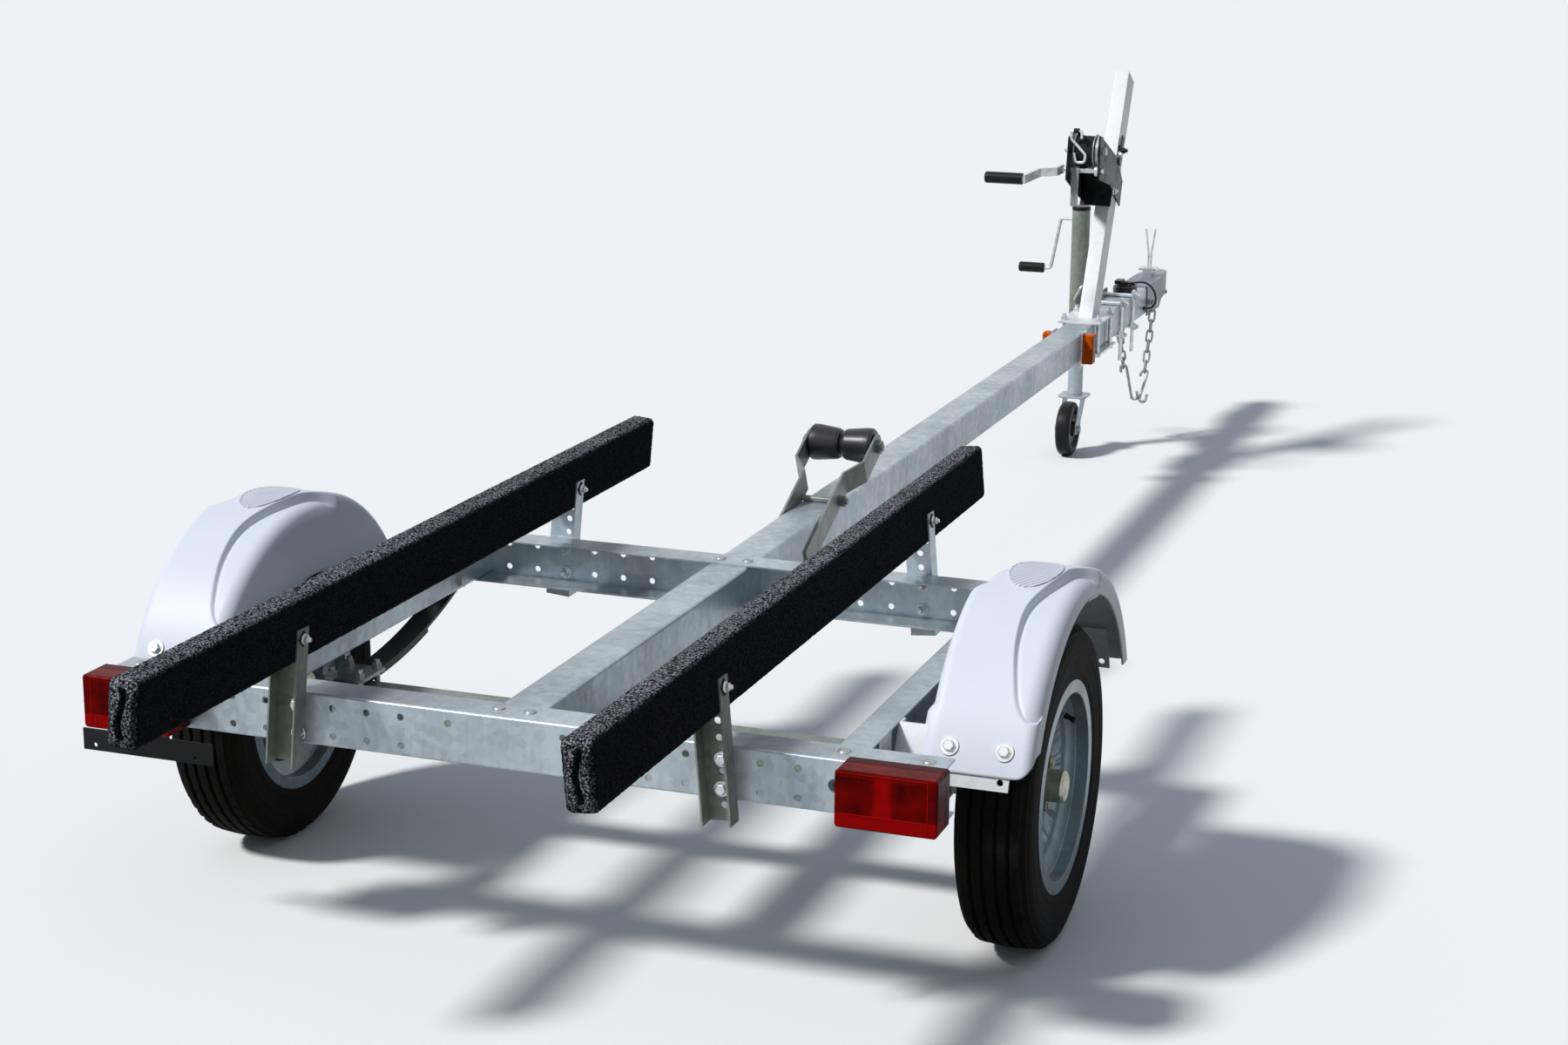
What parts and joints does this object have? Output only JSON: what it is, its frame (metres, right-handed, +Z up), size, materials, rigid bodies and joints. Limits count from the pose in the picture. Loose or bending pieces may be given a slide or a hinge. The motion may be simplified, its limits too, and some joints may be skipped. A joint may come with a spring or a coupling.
{
  "type": "boat trailer",
  "caption": "Galvanised single-axle boat trailer with carpeted bunks, a keel roller, a winch post and a swing-up tongue jack, parked level on its jack.",
  "frame": {"origin": "on the ground under the middle of the trailer's length and width", "axes": "+X to the trailer's right, +Y forward to the coupler, +Z up"},
  "size_m": [1.505, 5.037, 1.0723],
  "materials": {
    "galvanised_steel": "hot-dip galvanised, matt with a faint spangle",
    "bright_zinc": "bright zinc plate",
    "black_steel": "satin black paint",
    "fender_plastic": "pale grey moulded plastic, finely grained",
    "bunk_carpet": "charcoal looped marine carpet",
    "tyre_rubber": "black rubber",
    "black_rubber": "black rubber",
    "black_plastic": "black plastic",
    "red_lens": "red transparent lens",
    "amber_lens": "amber transparent lens",
    "strap_webbing": "black woven webbing"
  },
  "bodies": {
    "frame": {"axle": "galvanised_steel", "chain_anchors": "galvanised_steel", "coupler_body": "galvanised_steel", "coupler_latch": "bright_zinc", "front_crossmember": "galvanised_steel", "harness_coil": "black_rubber", "harness_grommet": "black_rubber", "harness_lead": "black_rubber", "harness_plug": "black_plastic", "jack_bracket": "galvanised_steel", "left_bunk": "bunk_carpet", "left_fender": "fender_plastic", "left_fender_brackets": "galvanised_steel", "left_front_bunk_bracket": "galvanised_steel", "left_leaf_spring": "black_steel", "left_rail": "galvanised_steel", "left_rear_bunk_bracket": "galvanised_steel", "left_spring_hardware": "black_steel", "left_tail_lamp": "black_plastic", "left_tail_lens": "red_lens", "main_beam": "galvanised_steel", "marker_lamp_lenses": "amber_lens", "marker_lamp_plates": "bright_zinc", "plate_bracket": "black_steel", "post_clamp": "galvanised_steel", "rear_crossmember": "galvanised_steel", "right_bunk": "bunk_carpet", "right_fender": "fender_plastic", "right_fender_brackets": "galvanised_steel", "right_front_bunk_bracket": "galvanised_steel", "right_leaf_spring": "black_steel", "right_rail": "galvanised_steel", "right_rear_bunk_bracket": "galvanised_steel", "right_spring_hardware": "black_steel", "right_tail_lamp": "black_plastic", "right_tail_lens": "red_lens", "roller_bracket": "galvanised_steel", "safety_chain": "galvanised_steel", "winch_drum": "black_steel", "winch_frame": "black_steel", "winch_handle": "bright_zinc", "winch_handle_grip": "black_plastic", "winch_hook": "bright_zinc", "winch_post": "galvanised_steel", "winch_strap": "strap_webbing"},
    "left_wheel": {"left_tyre": "tyre_rubber", "left_rim": "galvanised_steel", "left_hub": "galvanised_steel"},
    "right_wheel": {"right_tyre": "tyre_rubber", "right_rim": "galvanised_steel", "right_hub": "galvanised_steel"},
    "roller": {"keel_roller": "black_rubber"},
    "jack": {"jack_sleeve": "galvanised_steel", "jack_cap": "black_plastic", "jack_crank": "bright_zinc", "jack_crank_grip": "black_plastic"},
    "jack_inner": {"jack_leg": "galvanised_steel"},
    "caster": {"jack_caster": "galvanised_steel"},
    "caster_wheel": {"jack_wheel": "black_plastic"}
  },
  "joints": [
    {"name": "left_wheel_spin", "type": "hinge", "parent": "frame", "child": "left_wheel", "pos_m": [-0.6738, -1.5565, 0.2575], "axis": [1, 0, 0], "continuous": true},
    {"name": "right_wheel_spin", "type": "hinge", "parent": "frame", "child": "right_wheel", "pos_m": [0.6738, -1.5565, 0.2575], "axis": [1, 0, 0], "continuous": true},
    {"name": "keel_roller_spin", "type": "hinge", "parent": "frame", "child": "roller", "pos_m": [0, -0.4805, 0.523], "axis": [1, 0, 0], "continuous": true},
    {"name": "jack_swing", "type": "hinge", "parent": "frame", "child": "jack", "pos_m": [-0.06, 1.9165, 0.397], "axis": [1, 0, 0], "range_deg": [0, 90]},
    {"name": "jack_leg_slide", "type": "slide", "parent": "jack", "child": "jack_inner", "axis": [0, 0, 1], "range_m": [-0.08, 0.13]},
    {"name": "caster_swivel", "type": "hinge", "parent": "jack_inner", "child": "caster", "pos_m": [-0.1, 1.9165, 0.157], "axis": [0, 0, 1], "continuous": true},
    {"name": "jack_wheel_spin", "type": "hinge", "parent": "caster", "child": "caster_wheel", "pos_m": [-0.1, 1.8465, 0.076], "axis": [1, 0, 0], "continuous": true}
  ]
}
